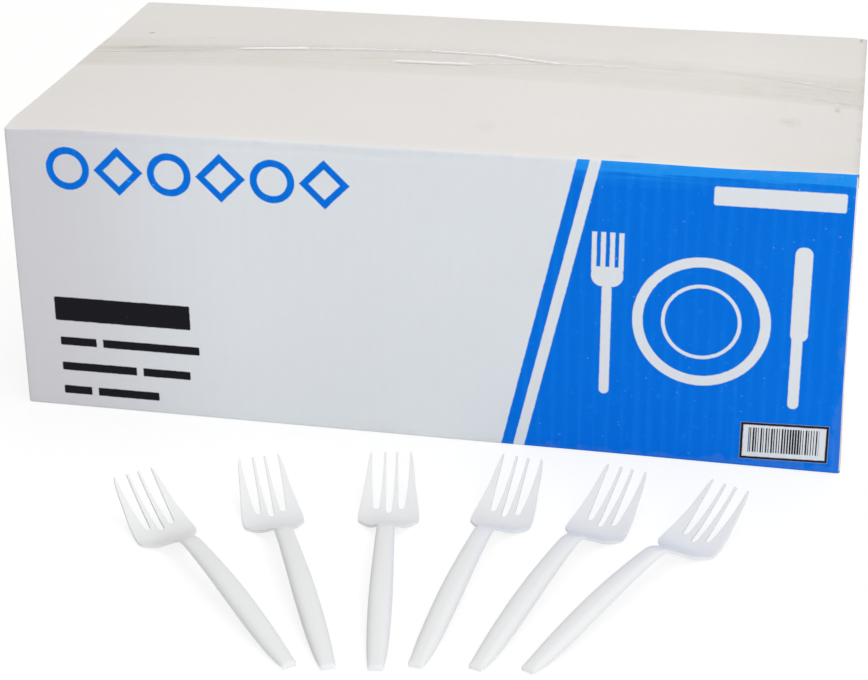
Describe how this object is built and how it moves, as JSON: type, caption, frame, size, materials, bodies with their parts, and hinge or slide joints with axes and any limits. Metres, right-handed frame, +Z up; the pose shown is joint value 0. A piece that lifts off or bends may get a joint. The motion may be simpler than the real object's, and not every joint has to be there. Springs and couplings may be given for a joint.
{
  "type": "plastic cutlery pack",
  "caption": "Sealed corrugated carton of disposable plastic forks, with loose forks laid out in a fan in front of it.",
  "frame": {"origin": "centre of the carton's base, on the surface that the pack rests on", "axes": "+X along the carton's long side, +Y from the forks towards the carton, +Z up"},
  "size_m": [0.3816, 0.4104, 0.1463],
  "materials": {
    "carton_board": "white-faced corrugated board, matt, with one flat blue ink and black bars",
    "packing_tape": "clear packing tape, slightly yellow, glossy and wrinkled",
    "white_plastic": "white polypropylene, satin"
  },
  "bodies": {
    "root": {"carton": "carton_board", "lid_tape": "packing_tape", "base_tape": "packing_tape", "fork_1": "white_plastic", "fork_2": "white_plastic", "fork_3": "white_plastic", "fork_4": "white_plastic", "fork_5": "white_plastic", "fork_6": "white_plastic"}
  },
  "joints": []
}
